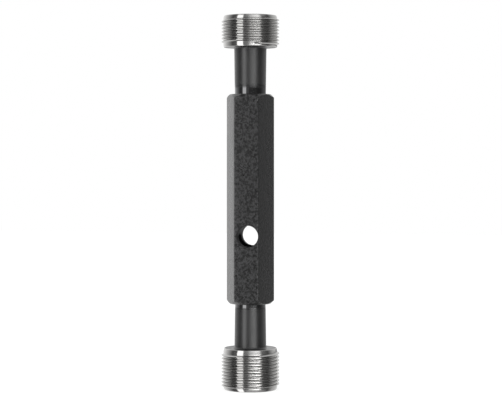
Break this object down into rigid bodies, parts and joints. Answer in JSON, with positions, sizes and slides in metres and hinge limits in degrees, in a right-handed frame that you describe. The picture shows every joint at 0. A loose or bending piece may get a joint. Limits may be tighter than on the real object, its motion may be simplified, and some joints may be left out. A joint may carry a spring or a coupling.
{
  "type": "thread plug gauge",
  "caption": "Double-ended thread plug gauge: a hexagonal handle with a drift hole, a long GO thread head at one end and a short NO-GO head at the other.",
  "frame": {"origin": "centre of the GO end face, which the gauge stands on", "axes": "+Z along the gauge from the GO end up to the NO-GO end; -Y and +Y are the normals of the two handle flats that the drift hole passes through"},
  "size_m": [0.026, 0.026, 0.1673],
  "materials": {
    "handle_black_oxide": "black oxide on bar steel, satin, flats with a fine milled speckle",
    "ground_steel": "bright ground thread heads, with blackened turned necks"
  },
  "bodies": {
    "root": {"handle": "handle_black_oxide", "go_thread_plug": "ground_steel", "no_go_thread_plug": "ground_steel"}
  },
  "joints": []
}
